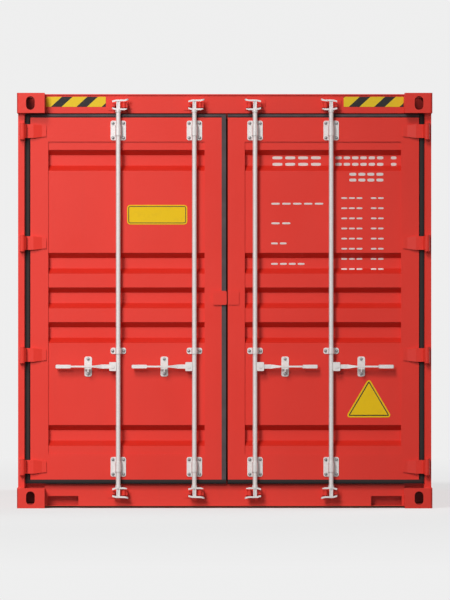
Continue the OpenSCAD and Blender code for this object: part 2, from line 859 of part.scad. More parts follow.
// A blade, its far end narrower in height than its knuckle
module hinge_blade(z) {
    depth = door_y - pin_y;
    reach = pin_x - lip_x + clearance + blade_flat_l + blade_slope_l + blade_tip_l;
    shoulder = reach - blade_slope_l - blade_tip_l;
    half = knuckle_h / 2;
    half_tip = blade_tip_h / 2;
    translate([pin_x, pin_y, z]) difference() {
        intersection() {
            translate([0, 0, -half]) linear_extrude(knuckle_h) mirror([1, 0]) blade_plan();
            translate([0, depth + cut, 0]) rotate([90, 0, 0])
                linear_extrude(depth + knuckle_d) polygon([[knuckle_d, -half],
                    [knuckle_d, half], [-shoulder, half], [-reach, half_tip],
                    [-reach, -half_tip], [-shoulder, -half]]);
        }
        cylinder(d = pin_d + 2 * pin_gap, h = 2 * knuckle_h, center = true);
    }
}

module right_hinge_blades() {
    color(paint) for (i = [0 : hinge_count - 1]) hinge_blade(hinge_low_z + i * hinge_step);
}

module left_hinge_blades() {
    to_left() right_hinge_blades();
}

module door_stile(from_x, to_x) {
    translate([0, 0, door_bottom_z]) linear_extrude(door_h) difference() {
        translate([from_x, door_y]) square([to_x - from_x, door_t]);
        translate([from_x + door_tube_t, door_y + door_tube_t])
            square([to_x - from_x - 2 * door_tube_t, door_t - 2 * door_tube_t]);
    }
}

module right_door_stiles() {
    color(paint) {
        door_stile(door_half_gap, panel_left_x);
        door_stile(panel_right_x, door_edge_x);
    }
}

module left_door_stiles() {
    to_left() right_door_stiles();
}

module right_door_rails() {
    color(paint) {
        tube_x([panel_left_x, door_y, door_bottom_z],
            [panel_right_x, door_back_y, panel_bottom_z], door_tube_t);
        tube_x([panel_left_x, door_y, panel_top_z],
            [panel_right_x, door_back_y, door_top_z], door_tube_t);
    }
}

module left_door_rails() {
    to_left() right_door_rails();
}

// One sheet with five pressed grooves from stile to stile
module right_door_panel() {
    centres = [panel_bottom_z + groove_edge, grooves_z - groove_pitch, grooves_z,
        grooves_z + groove_pitch, panel_top_z - groove_edge];
    line = concat(
        [[panel_y, panel_bottom_z]],
        [for (c = centres, k = [0 : 3])
            [panel_y + (k == 0 || k == 3 ? 0 : groove_depth),
             c + [-groove_h, -groove_flat_h, groove_flat_h, groove_h][k] / 2]],
        [[panel_y, panel_top_z]]
    );
    color(paint) along_x(panel_left_x, panel_right_x) bent_sheet(line, -sheet_t);
}

module left_door_panel() {
    to_left() right_door_panel();
}

// The seal round a door: a body inside the frame, a lip over the post and a groove
// beside the steel of the door
module door_seal(centre_x) {
    y = door_y + seal_inset;
    top_z = upper_z - clearance;
    bottom_z = sill_z + clearance;
    body_x = web_x - clearance;
    groove_x = door_edge_x + seal_groove_w;
    groove_z = door_top_z + seal_groove_w;
    difference() {
        union() {
            block([door_edge_x, y, bottom_z], [body_x, door_back_y, top_z]);
            block([door_edge_x, y, bottom_z], [lip_x - clearance, y + seal_lip_t, top_z]);
            block([centre_x, y, door_top_z], [body_x, door_back_y, top_z]);
            block([centre_x, y, bottom_z], [body_x, door_back_y, door_bottom_z]);
        }
        block([door_edge_x, y - cut, door_bottom_z], [groove_x, y + seal_groove_d, groove_z]);
        block([door_half_gap, y - cut, door_top_z], [groove_x, y + seal_groove_d, groove_z]);
    }
}

module right_door_gasket() {
    color(rubber) union() door_seal(door_half_gap);
}

// The left door carries the strip that fills the gap in the middle
module left_door_gasket() {
    color(rubber) to_left() union() {
        door_seal(-centre_seal_reach);
        block([-centre_seal_reach, door_y + seal_inset, sill_z + clearance],
            [door_half_gap, door_back_y, upper_z - clearance]);
    }
}

// A bearing on a plate; the bar turns in it
module bar_bracket(x, y, z, h, l) {
    difference() {
        union() {
            wall_plate(x, y, z, bracket_w, h, bracket_t, bracket_r);
            block([x - bearing_w / 2, bar_y, z - l / 2], [x + bearing_w / 2, y, z + l / 2]);
            translate([x, bar_y, z]) cylinder(d = bearing_w, h = l, center = true);
        }
        translate([x, bar_y, z]) cylinder(d = bar_d + 2 * bar_gap, h = 2 * l, center = true);
    }
}

module right_bar_brackets() {
    color(zinc) for (x = bar_xs) {
        for (z = bracket_zs) bar_bracket(x, door_y, z, bracket_h, bearing_l);
        bar_bracket(x, panel_y, mid_bracket_z, mid_bracket_h, mid_bracket_h);
    }
}

module left_bar_brackets() {
    to_left() right_bar_brackets();
}

// A plate with a shelf under the handle and a lug for the seal
module handle_retainer(x) {
    shelf_z = handle_z - handle_t / 2 - clearance;
    face_y = panel_y - bracket_t;
    front_y = bar_y - handle_h / 2;
    wall_plate(x, panel_y, handle_z, retainer_w, retainer_h, bracket_t, retainer_r);
    block([x - shelf_w / 2, front_y, shelf_z - shelf_t], [x + shelf_w / 2, face_y, shelf_z]);
    difference() {
        block([x - seal_lug_t / 2, front_y, shelf_z - shelf_t - seal_lug_h],
            [x + seal_lug_t / 2, face_y, shelf_z - shelf_t]);
        translate([x, (front_y + face_y) / 2, shelf_z - shelf_t - seal_lug_h / 2])
            rotate([0, 90, 0]) cylinder(d = seal_hole_d, h = 2 * seal_lug_t, center = true);
    }
}

module right_handle_retainers() {
    color(zinc) for (x = bar_xs) handle_retainer(x + retainer_x);
}

module left_handle_retainers() {
    to_left() right_handle_retainers();
}

// The raised half of the plate over the gap, on the left door
module left_overlap_plate() {
    reach = door_half_gap - overlap_end_gap;
    color(paint) wall_plate(reach - overlap_w / 2, door_y, door_middle_z + overlap_rise,
        overlap_w, overlap_h, overlap_t, overlap_r);
}

module right_overlap_pad() {
    color(paint) wall_plate(door_half_gap + overlap_pad_w / 2, door_y,
        door_middle_z + overlap_rise, overlap_pad_w, overlap_h, overlap_pad_t, overlap_r);
}

// Front view of the prongs of a cam: the longer one above, its tip bent away
module cam_front() {
    inner = prong_gap / 2;
    outer = inner + prong_t;
    side = cam_web / 2;
    bend = horn_l - prong_reach;
    polygon([[cam_back, inner - cam_pinch], [side, inner], [bend, inner],
        [-prong_reach, inner + horn_rise], [-prong_reach, outer + horn_rise],
        [bend, outer], [side, outer], [cam_back, outer - cam_pinch]]);
    polygon([[cam_back, cam_pinch - inner], [side, -inner], [-short_reach, -inner],
        [-short_reach, -cam_middle], [bend, -outer], [side, -outer],
        [cam_back, cam_pinch - outer]]);
}

// Plan of the prongs, round at the end towards the middle
module cam_plan() {
    r = prong_w / 2;
    translate([r - prong_reach, 0]) circle(r);
    translate([r - prong_reach, -r]) square([prong_reach - r + cam_back, prong_w]);
}

// A cam: prongs, a grooved web between them and a collar on the bar below
module cam() {
    reach = prong_gap + prong_t;
    difference() {
        union() {
            intersection() {
                translate([0, prong_w / 2, 0]) rotate([90, 0, 0]) linear_extrude(prong_w)
                    cam_front();
                translate([0, 0, -reach]) linear_extrude(2 * reach) cam_plan();
            }
            translate([-cam_web / 2, -cam_web / 2, -cam_middle])
                cube([cam_web, cam_web, reach]);
            translate([0, 0, -cam_middle - collar_l]) cylinder(d = collar_d, h = collar_l);
        }
        translate([-web_groove_w / 2, -cut - cam_web / 2, -prong_gap / 2])
            cube([web_groove_w, web_groove_d + cut, prong_gap]);
    }
}

// The fork on the bar and the pin that the handle turns on
module handle_fork() {
    slot_near = fork_near + fork_back_t;
    slot_t = handle_t + 2 * ear_gap;
    difference() {
        translate([fork_near + fork_l / 2, fork_t / 2, handle_z]) rotate([90, 0, 0])
            linear_extrude(fork_t) rounded_rect(fork_l, fork_h, fork_r);
        translate([slot_near, -slot_t / 2, handle_z - fork_h])
            cube([fork_l, slot_t, 2 * fork_h]);
    }
    translate([pivot_x, 0, handle_z]) rotate([90, 0, 0]) {
        cylinder(d = pivot_d, h = fork_t + pivot_head_t, center = true);
        for (low = [-fork_t / 2 - pivot_head_t, fork_t / 2])
            translate([0, 0, low]) cylinder(d = pivot_head_d, h = pivot_head_t);
    }
}

// A bar on the right door with its two cams and the fork for its handle
module locking_bar(x) {
    bottom_z = lower_cam_z + cam_middle;
    top_z = upper_cam_z - cam_middle;
    translate([x, bar_y, 0]) union() {
        translate([0, 0, bottom_z]) cylinder(d = bar_d, h = top_z - bottom_z);
        translate([0, 0, lower_cam_z]) mirror([0, 0, 1]) cam();
        translate([0, 0, upper_cam_z]) cam();
        handle_fork();
    }
}

module right_inner_bar() {
    color(zinc) locking_bar(inner_bar_x);
}

module right_outer_bar() {
    color(zinc) locking_bar(outer_bar_x);
}

module left_inner_bar() {
    to_left() right_inner_bar();
}

module left_outer_bar() {
    to_left() right_outer_bar();
}

// Front view of a handle: tall at the eye, low past the twist, round at the grip
module handle_front() {
    twist_end = twist_x + twist_l;
    grip_x = handle_l - grip_l;
    translate([pivot_x, 0]) circle(handle_h / 2);
    polygon([[pivot_x, -handle_h / 2], [twist_x, -handle_h / 2], [twist_end, -handle_t / 2],
        [grip_x + grip_r, -handle_t / 2], [grip_x + grip_r, handle_t / 2],
        [twist_end, handle_t / 2], [twist_x, handle_h / 2], [pivot_x, handle_h / 2]]);
    translate([grip_x + grip_l / 2, 0]) rounded_rect(grip_l, grip_h, grip_r);
}

// Plan of a handle: thin at the eye, deep past the twist
module handle_plan() {
    twist_end = twist_x + twist_l;
    grip_x = handle_l - grip_l;
    polygon([[0, -handle_t / 2], [twist_x, -handle_t / 2], [twist_end, -handle_h / 2],
        [grip_x, -handle_h / 2], [grip_x + grip_r, -grip_t / 2],
        [grip_x + grip_r, grip_t / 2], [grip_x, handle_h / 2], [twist_end, handle_h / 2],
        [twist_x, handle_t / 2], [0, handle_t / 2]]);
    translate([grip_x + grip_l / 2, 0]) rounded_rect(grip_l, grip_t, grip_r);
}

// A handle with an eye on the pivot, a quarter twist and a thicker grip
module bar_handle(x) {
    translate([x, bar_y, handle_z]) difference() {
        intersection() {
            translate([0, handle_h, 0]) rotate([90, 0, 0]) linear_extrude(2 * handle_h)
                handle_front();
            translate([0, 0, -handle_h]) linear_extrude(2 * handle_h) handle_plan();
        }
        translate([pivot_x, 0, 0]) rotate([90, 0, 0])
            cylinder(d = pivot_d + 2 * bar_gap, h = 2 * handle_t, center = true);
    }
}

module right_inner_handle() {
    color(zinc) bar_handle(inner_bar_x);
}

module right_outer_handle() {
    color(zinc) bar_handle(outer_bar_x);
}

module left_inner_handle() {
    to_left() right_inner_handle();
}

module left_outer_handle() {
    to_left() right_outer_handle();
}

bottom_corner_castings();
top_corner_castings();
rear_posts();
front_posts();
door_header();
door_sill();
front_header();
front_sill();
top_side_rails();
bottom_side_rails();
cross_members();
fork_pockets();
floor_boards();
floor_centre_rail();
side_walls();
front_wall();
roof_panel();
roof_corner_plates();
cam_keepers();
hinge_lugs();
left_door_stiles();
left_door_rails();
left_door_panel();
left_door_gasket();
left_hinge_blades();
left_bar_brackets();
left_handle_retainers();
left_overlap_plate();
right_door_stiles();
right_door_rails();
right_door_panel();
right_door_gasket();
right_hinge_blades();
right_bar_brackets();
right_handle_retainers();
right_overlap_pad();
left_outer_bar();
left_inner_bar();
right_inner_bar();
right_outer_bar();
left_outer_handle();
left_inner_handle();
right_inner_handle();
right_outer_handle();
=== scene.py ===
import json
import math

import bmesh
import bpy
from mathutils import Matrix, Vector
from mathutils.bvhtree import BVHTree


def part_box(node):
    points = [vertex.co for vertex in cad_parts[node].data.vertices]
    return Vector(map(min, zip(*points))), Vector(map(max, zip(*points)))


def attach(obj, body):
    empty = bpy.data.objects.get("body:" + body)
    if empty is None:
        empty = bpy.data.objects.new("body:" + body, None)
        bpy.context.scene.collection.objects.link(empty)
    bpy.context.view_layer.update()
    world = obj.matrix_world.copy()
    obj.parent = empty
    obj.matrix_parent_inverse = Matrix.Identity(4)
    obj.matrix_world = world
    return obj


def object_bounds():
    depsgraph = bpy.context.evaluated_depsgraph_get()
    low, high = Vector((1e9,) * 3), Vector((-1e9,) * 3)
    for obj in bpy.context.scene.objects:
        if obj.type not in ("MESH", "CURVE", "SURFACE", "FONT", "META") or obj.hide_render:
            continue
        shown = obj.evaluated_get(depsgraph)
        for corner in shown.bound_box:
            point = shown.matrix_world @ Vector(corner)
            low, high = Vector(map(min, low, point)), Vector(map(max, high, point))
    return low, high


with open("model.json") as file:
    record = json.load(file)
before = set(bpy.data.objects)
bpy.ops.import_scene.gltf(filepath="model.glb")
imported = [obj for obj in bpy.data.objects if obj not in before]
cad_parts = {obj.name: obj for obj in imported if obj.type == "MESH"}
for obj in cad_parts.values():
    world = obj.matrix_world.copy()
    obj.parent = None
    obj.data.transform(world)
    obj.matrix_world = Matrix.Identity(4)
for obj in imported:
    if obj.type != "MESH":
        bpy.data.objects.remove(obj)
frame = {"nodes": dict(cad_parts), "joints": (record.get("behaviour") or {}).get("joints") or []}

cadLow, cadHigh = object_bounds()

# A red steel shipping container: finishes for its CAD nodes, small fittings and a pale studio.
# These are the boxes of the nodes that the fittings and finishes follow.
stileLow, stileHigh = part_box("right_door_stiles")
postLow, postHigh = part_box("rear_posts")
roofLow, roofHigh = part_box("roof_panel")
wallLow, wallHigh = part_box("side_walls")
endLow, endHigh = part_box("front_wall")
floorLow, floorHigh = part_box("floor_boards")
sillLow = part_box("door_sill")[0]
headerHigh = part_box("door_header")[1]
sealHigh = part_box("right_door_gasket")[1]

faceY = stileLow.y      # the outside of the doors, which face the viewer
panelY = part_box("right_door_panel")[0].y    # the flat of the doors' pressed panels
headerY = sillLow.y     # but for its gutter, the header stands as far back as the sill


def newFinish(name):
    finish = bpy.data.materials.new(name)
    finish.use_nodes = True
    tree = finish.node_tree
    return finish, tree, tree.nodes["Principled BSDF"]


def objectPlace(tree, stretch=(1, 1, 1)):
    # Object coordinates; a stretch above 1 makes a pattern finer along that axis
    place = tree.nodes.new("ShaderNodeTexCoord")
    mapping = tree.nodes.new("ShaderNodeMapping")
    mapping.inputs["Scale"].default_value = stretch
    tree.links.new(place.outputs["Object"], mapping.inputs["Vector"])
    return mapping.outputs["Vector"]


def noise(tree, place, scale, detail, roughness):
    texture = tree.nodes.new("ShaderNodeTexNoise")
    texture.inputs["Scale"].default_value = scale
    texture.inputs["Detail"].default_value = detail
    texture.inputs["Roughness"].default_value = roughness
    tree.links.new(place, texture.inputs["Vector"])
    return texture.outputs["Fac"]


def spread(tree, value, fromSpan, toSpan):
    # Carries a value from one span to another
    ranged = tree.nodes.new("ShaderNodeMapRange")
    names = ("From Min", "From Max", "To Min", "To Max")
    for name, number in zip(names, (*fromSpan, *toSpan)):
        ranged.inputs[name].default_value = number
    tree.links.new(value, ranged.inputs["Value"])
    return ranged.outputs["Result"]


def patches(tree, place, look, toSpan):
    # look is a noise's scale, detail and roughness, and the span of it that is spread out
    scale, detail, roughness, fromSpan = look
    return spread(tree, noise(tree, place, scale, detail, roughness), fromSpan, toSpan)


def axes(tree, place):
    split = tree.nodes.new("ShaderNodeSeparateXYZ")
    tree.links.new(place, split.inputs["Vector"])
    return split.outputs


def mixColour(tree, amount, first, second):
    # first and second are colours or sockets; a Mix node takes its amount at input 0, and its
    # colours at 6 and 7
    mix = tree.nodes.new("ShaderNodeMix")
    mix.data_type = "RGBA"
    for socket, colour in ((mix.inputs[6], first), (mix.inputs[7], second)):
        if isinstance(colour, tuple):
            socket.default_value = (*colour, 1)
        else:
            tree.links.new(colour, socket)
    tree.links.new(amount, mix.inputs[0])
    return mix.outputs[2]


def mixShader(tree, amount, first, second):
    mix = tree.nodes.new("ShaderNodeMixShader")
    tree.links.new(amount, mix.inputs["Fac"])
    tree.links.new(first, mix.inputs[1])
    tree.links.new(second, mix.inputs[2])
    return mix.outputs["Shader"]


def combine(tree, operation, first, second=0.0):
    # One step of arithmetic on sockets or numbers
    step = tree.nodes.new("ShaderNodeMath")
    step.operation = operation
    for socket, value in ((step.inputs[0], first), (step.inputs[1], second)):
        if isinstance(value, (int, float)):
            socket.default_value = value
        else:
            tree.links.new(value, socket)
    return step.outputs["Value"]


def addBump(tree, shader, height, strength, distance):
    bump = tree.nodes.new("ShaderNodeBump")
    bump.inputs["Strength"].default_value = strength
    bump.inputs["Distance"].default_value = distance
    tree.links.new(height, bump.inputs["Height"])
    tree.links.new(bump.outputs["Normal"], shader.inputs["Normal"])


casting = {
    "size": (0.162, 0.178, 0.118),
    "rim": 0.003,           # the outer faces keep the paint's own colour
    "pocket": (0.300, 0.008, 0.004),    # painted shade inside the castings' holes
}


def pocketMask(tree, place):
    # 1 inside the corner castings, where their holes get painted shade
    where = axes(tree, place)
    mask = 1.0
    for axis, low, high, size in zip("XYZ", cadLow, cadHigh, casting["size"]):
        middle = (low + high) / 2
        reach = combine(tree, "ABSOLUTE", combine(tree, "SUBTRACT", where[axis], middle))
        depth = combine(tree, "SUBTRACT", high - middle, reach)
        past = combine(tree, "GREATER_THAN", depth, casting["rim"])
        short = combine(tree, "LESS_THAN", depth, size - casting["rim"])
        for limit in (past, short):
            mask = combine(tree, "MULTIPLY", limit, mask)
    return mask


# In this and the other finishes a noise is given as its scale, detail and roughness, some with
# the span of it that is used, and a bump as its strength and its distance in metres
paint = {
    "clean": (0.79, 0.037, 0.022),
    "deep": (0.68, 0.027, 0.015),
    "patches": (0.9, 6, 0.55, (0.35, 0.70)),
    "patchMost": 0.55,
    "sloped": (0.50, 0.010, 0.002),     # painted shade on the slanting faces of the pressed panels
    "slopeShadeSpan": (0.25, 0.55),          # the lean where that colour sets in, and where it is full
    "slopeShadeMost": 0.6,
    "grime": (0.16, 0.05, 0.035),
    "streakStretch": (9, 9, 0.6),
    "streaks": (1.5, 8, 0.7, (0.52, 0.85)),
    "splashTop": 0.5,                   # metres above the ground where the road dirt ends
    "splash": (7, 8, 0.7),
    "wear": (3.5, 6, 0.55, (0.30, 0.75)),
    "roughness": (0.34, 0.52),
    "shine": 0.32,
    "coat": 0.05,
    "coatRoughness": 0.25,
    "peel": (55, 3, 0.55),
    "peelHeight": 0.04,
    "dents": (2.2, 2, 0.55),
    "bump": (0.5, 0.02),
}


def addSlopeShade(tree, colour):
    # Painted shade: the slanting faces of a pressed panel are painted a deeper red, as if shaded
    facing = tree.nodes.new("ShaderNodeTexCoord").outputs["Normal"]
    lean = combine(tree, "ABSOLUTE", axes(tree, facing)["Z"])
    amount = spread(tree, lean, paint["slopeShadeSpan"], (0.0, paint["slopeShadeMost"]))
    return mixColour(tree, amount, colour, paint["sloped"])


def addGrime(tree, place, colour, grime):
    # Streaks that run down, and road dirt near the ground
    streakPlace = objectPlace(tree, paint["streakStretch"])
    streaks = patches(tree, streakPlace, paint["streaks"], (0.0, grime))
    colour = mixColour(tree, streaks, colour, paint["grime"])
    low = spread(tree, axes(tree, place)["Z"], (0.0, paint["splashTop"]), (1.0, 0.0))
    splash = combine(tree, "MULTIPLY", low, noise(tree, place, *paint["splash"]))
    splash = combine(tree, "MULTIPLY", splash, grime)
    return mixColour(tree, splash, colour, paint["grime"])


def redPaint(name, dents, grime, pockets=False, shadeSlopes=False):
    # Enamel over steel: slow shade changes, orange peel, shallow dents, a little dirt
    finish, tree, shader = newFinish(name)
    place = objectPlace(tree)
    shade = patches(tree, place, paint["patches"], (0.0, paint["patchMost"]))
    colour = mixColour(tree, shade, paint["clean"], paint["deep"])
    # Painted shade on the slanting faces
    if shadeSlopes:
        colour = addSlopeShade(tree, colour)
    colour = addGrime(tree, place, colour, grime)
    # Painted shade inside the castings' holes
    if pockets:
        colour = mixColour(tree, pocketMask(tree, place), colour, casting["pocket"])
    tree.links.new(colour, shader.inputs["Base Color"])
    rough = patches(tree, place, paint["wear"], paint["roughness"])
    tree.links.new(rough, shader.inputs["Roughness"])
    shader.inputs["Specular IOR Level"].default_value = paint["shine"]
    shader.inputs["Coat Weight"].default_value = paint["coat"]
    shader.inputs["Coat Roughness"].default_value = paint["coatRoughness"]
    peel = combine(tree, "MULTIPLY", noise(tree, place, *paint["peel"]), paint["peelHeight"])
    swell = combine(tree, "MULTIPLY", noise(tree, place, *paint["dents"]), dents)
    addBump(tree, shader, combine(tree, "ADD", peel, swell), *paint["bump"])
    return finish


zinc = {
    "spangles": 110,
    "spangleShade": 0.93,
    "wear": (30, 5, 0.55, (0.30, 0.70)),
    "grain": (160, 4, 0.55),
    "bump": (0.08, 0.004),
}


def galvanised(name, colour, metal, roughness):
    # Hot-dip zinc: small spangles and a dull, uneven shine
    finish, tree, shader = newFinish(name)
    place = objectPlace(tree)
    cells = tree.nodes.new("ShaderNodeTexVoronoi")
    cells.inputs["Scale"].default_value = zinc["spangles"]
    tree.links.new(place, cells.inputs["Vector"])
    split = tree.nodes.new("ShaderNodeSeparateColor")
    tree.links.new(cells.outputs["Color"], split.inputs["Color"])
    darker = tuple(zinc["spangleShade"] * part for part in colour)
    tree.links.new(mixColour(tree, split.outputs["Red"], colour, darker),
                   shader.inputs["Base Color"])
    shader.inputs["Metallic"].default_value = metal
    tree.links.new(patches(tree, place, zinc["wear"], roughness), shader.inputs["Roughness"])
    addBump(tree, shader, noise(tree, place, *zinc["grain"]), *zinc["bump"])
    return finish


seal = {
    "rib": (0.078, 0.058, 0.062),
    "dusty": (0.125, 0.098, 0.098),
    "shaded": (0.026, 0.021, 0.020),    # painted shade: the side and bottom runs are painted darker
    "lip": (0.010, 0.008, 0.008),       # painted shadow: the outer band, against the post, header and sill, painted near black
    "lipSide": 0.009,       # its width at the sides
    "lipTop": 0.003,        # and at the top
    "lipBottom": 0.012,     # at the foot it starts this far below the stiles
    "dust": (12, 7, 0.55, (0.40, 0.80)),
    "dustMost": 0.7,
    "roughness": 0.78,
    "shine": 0.25,
    "grain": (240, 3, 0.55),
    "bump": (0.15, 0.003),
}


def sealRubber():
    # Chalky grey rib; the outer band is painted near black as a painted shadow, and the side and
    # bottom runs darker as painted shade
    finish, tree, shader = newFinish("sealRubber")
    place = objectPlace(tree)
    dust = patches(tree, place, seal["dust"], (0.0, seal["dustMost"]))
    colour = mixColour(tree, dust, seal["rib"], seal["dusty"])
    where = axes(tree, place)
    side = combine(tree, "ABSOLUTE", where["X"])
    run = combine(tree, "GREATER_THAN", side, stileHigh.x)
    foot = combine(tree, "LESS_THAN", where["Z"], stileLow.z)
    # Painted shade on the side and bottom runs
    colour = mixColour(tree, combine(tree, "MAXIMUM", run, foot), colour, seal["shaded"])
    # Painted shadow: the outer band is painted near black
    outer = combine(tree, "GREATER_THAN", side, sealHigh.x - seal["lipSide"])
    above = combine(tree, "GREATER_THAN", where["Z"], sealHigh.z - seal["lipTop"])
    below = combine(tree, "LESS_THAN", where["Z"], stileLow.z - seal["lipBottom"])
    shadowBand = combine(tree, "MAXIMUM", combine(tree, "MAXIMUM", outer, above), below)
    tree.links.new(mixColour(tree, shadowBand, colour, seal["lip"]), shader.inputs["Base Color"])
    shader.inputs["Roughness"].default_value = seal["roughness"]
    shader.inputs["Specular IOR Level"].default_value = seal["shine"]
    addBump(tree, shader, noise(tree, place, *seal["grain"]), *seal["bump"])
    return finish


boards = {
    "pale": (0.40, 0.22, 0.105),
    "dark": (0.23, 0.115, 0.05),
    "grainStretch": (26, 1.3, 26),      # the grain runs along the container
    "grain": (2.2, 9, 0.65),
    "grainSpan": (0.35, 0.70),
    "scuffed": (0.20, 0.16, 0.13),
    "scuffs": (4, 9, 0.75, (0.50, 0.80)),
    "scuffMost": 0.6,
    "roughness": 0.6,
    "bump": (0.3, 0.003),
}


def plywood():
    finish, tree, shader = newFinish("plywood")
    grain = noise(tree, objectPlace(tree, boards["grainStretch"]), *boards["grain"])
    colour = mixColour(tree, spread(tree, grain, boards["grainSpan"], (0.0, 1.0)),
                       boards["pale"], boards["dark"])
    scuffs = patches(tree, objectPlace(tree), boards["scuffs"], (0.0, boards["scuffMost"]))
    colour = mixColour(tree, scuffs, colour, boards["scuffed"])
    tree.links.new(colour, shader.inputs["Base Color"])
    shader.inputs["Roughness"].default_value = boards["roughness"]
    addBump(tree, shader, grain, *boards["bump"])
    return finish


wax = {
    "thick": (0.030, 0.022, 0.020),
    "thin": (0.085, 0.05, 0.042),
    "coat": (18, 8, 0.6),
    "coatSpan": (0.30, 0.70),
    "roughness": (0.50, 0.75),
    "bump": (0.4, 0.004),
}


def underseal():
    # Dark wax on the base
    finish, tree, shader = newFinish("underseal")
    coat = noise(tree, objectPlace(tree), *wax["coat"])
    tree.links.new(mixColour(tree, coat, wax["thick"], wax["thin"]),
                   shader.inputs["Base Color"])
    tree.links.new(spread(tree, coat, wax["coatSpan"], wax["roughness"]),
                   shader.inputs["Roughness"])
    addBump(tree, shader, coat, *wax["bump"])
    return finish


film = {
    "scuffs": (32, 8, 0.7, (0.50, 0.80)),
    "scuffMost": 0.35,
    "shine": 0.2,
    "grain": (120, 4, 0.55),
    "bump": (0.05, 0.002),
}


def plainFilm(name, colour, worn, roughness):
    # Paint or film in one colour, slightly scuffed
    finish, tree, shader = newFinish(name)
    place = objectPlace(tree)
    scuffs = patches(tree, place, film["scuffs"], (0.0, film["scuffMost"]))
    tree.links.new(mixColour(tree, scuffs, colour, worn), shader.inputs["Base Color"])
    shader.inputs["Roughness"].default_value = roughness
    shader.inputs["Specular IOR Level"].default_value = film["shine"]
    addBump(tree, shader, noise(tree, place, *film["grain"]), *film["bump"])
    return finish


finishes = {
    # doorPaint gets painted shade on its slanting faces
    "door": redPaint("doorPaint", dents=0.12, grime=0.05, shadeSlopes=True),
    "frame": redPaint("framePaint", dents=0.03, grime=0.07),
    # castingPaint gets painted shade inside the castings' holes
    "casting": redPaint("castingPaint", dents=0.02, grime=0.07, pockets=True),
    "skin": redPaint("skinPaint", dents=0.35, grime=0.12),
    "weld": redPaint("weldPaint", dents=0.0, grime=0.2),
    "zinc": galvanised("barZinc", (0.735, 0.695, 0.68), metal=0.25, roughness=(0.36, 0.52)),
    # Painted shade: the bolts' zinc is painted darker than the bars', as if in shade
    "shadedBolt": galvanised("boltZincShaded", (0.27, 0.26, 0.26), metal=0.6, roughness=(0.34, 0.50)),
    "steel": galvanised("screwSteel", (0.42, 0.40, 0.38), metal=0.6, roughness=(0.35, 0.55)),
    "rubber": sealRubber(),
    "plywood": plywood(),
    "underseal": underseal(),
    "yellow": plainFilm("signYellow", (0.83, 0.53, 0.004), worn=(0.60, 0.36, 0.02),
                        roughness=0.55),
    "black": plainFilm("signBorder", (0.025, 0.022, 0.022), worn=(0.10, 0.08, 0.06),
                       roughness=0.5),
    "white": plainFilm("markWhite", (0.76, 0.66, 0.63), worn=(0.62, 0.40, 0.36), roughness=0.5),
}
print("finishes made")

nodeFinish = {
    "cross_members": "underseal", "fork_pockets": "underseal", "floor_boards": "plywood",
    "side_walls": "skin", "front_wall": "skin", "roof_panel": "skin",
    "bottom_corner_castings": "casting", "top_corner_castings": "casting",
}
for name, node in frame["nodes"].items():
    kind = nodeFinish.get(name, "frame")
    if name.endswith(("_bar", "_handle", "_brackets", "_retainers")):
        kind = "zinc"
    elif name.endswith("_gasket"):
        kind = "rubber"
    elif "_door_" in name or name.endswith(("_blades", "_plate", "_pad")):
        kind = "door"
    node.data.materials.clear()
    node.data.materials.append(finishes[kind])
print("CAD nodes dressed")


sharpAngle = math.radians(38)   # an edge that bends more than this stays sharp


def addObject(name, data):
    made = bpy.data.objects.new(name, data)
    bpy.context.collection.objects.link(made)
    return made


def addPiece(name, mesh, body, kinds, smooth=True):
    data = bpy.data.meshes.new(name)
    mesh.to_mesh(data)
    mesh.free()
    for kind in kinds:
        data.materials.append(finishes[kind])
    if smooth:
        data.shade_smooth()
        data.set_sharp_from_angle(angle=sharpAngle)
    piece = addObject(name, data)
    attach(piece, body)


def vertsIn(geometry):
    return [part for part in geometry if isinstance(part, bmesh.types.BMVert)]


def edgesOf(verts):
    # Each edge once, in the same order on every run
    return list(dict.fromkeys(edge for vert in verts for edge in vert.link_edges))


def facesOf(verts):
    return list(dict.fromkeys(face for vert in verts for face in vert.link_faces))


def depthEdges(verts, thick):
    # The edges that run from a plate's front to its back
    return [edge for edge in edgesOf(verts)
            if abs(edge.verts[0].co.y - edge.verts[1].co.y) > thick / 2]


def soften(mesh, edges, offset, steps=2):
    bmesh.ops.bevel(mesh, geom=edges, offset=offset, segments=steps, profile=0.5,
                    affect="EDGES", material=-1)


def standUp(mesh, verts):
    # Turns what was made lying flat so that it faces the viewer
    bmesh.ops.rotate(mesh, cent=(0, 0, 0), matrix=Matrix.Rotation(math.radians(90), 3, "X"),
                     verts=verts)


def addBox(mesh, centre, size):
    made = bmesh.ops.create_cube(mesh, size=1)["verts"]
    bmesh.ops.scale(mesh, vec=size, verts=made)
    bmesh.ops.translate(mesh, vec=centre, verts=made)
    return made


def addPlate(mesh, centre, size, corner, steps):
    # A plate that faces the viewer, its corners rounded
    made = addBox(mesh, centre, size)
    soften(mesh, depthEdges(made, size[1]), corner, steps)


def addBlock(mesh, centre, size, edge):
    # A box with every edge softened
    made = addBox(mesh, centre, size)
    soften(mesh, edgesOf(made), edge)


hazard = {
    "yellow": (0.80, 0.55, 0.020),
    "black": (0.020, 0.018, 0.018),
    "pitch": 0.149,         # along the strip
    "blackShare": 0.42,
    "lead": 0.030,          # yellow before the first black stripe
    "lean": 1.09,           # run of a stripe for each unit of rise
    "size": (0.352, 0.0012, 0.059),     # width, thickness and height
    "centreX": 0.875,
    "centreZ": 2.3870,
    "corner": 0.003,
    "cornerSteps": 4,
    "worn": (0.25, 0.14, 0.06),
    "scuffs": (40, 8, 0.7, (0.55, 0.80)),
    "scuffMost": 0.3,
    "roughness": 0.5,
    "shine": 0.2,
    "grain": (90, 4, 0.55),
    "bump": (0.06, 0.002),
}


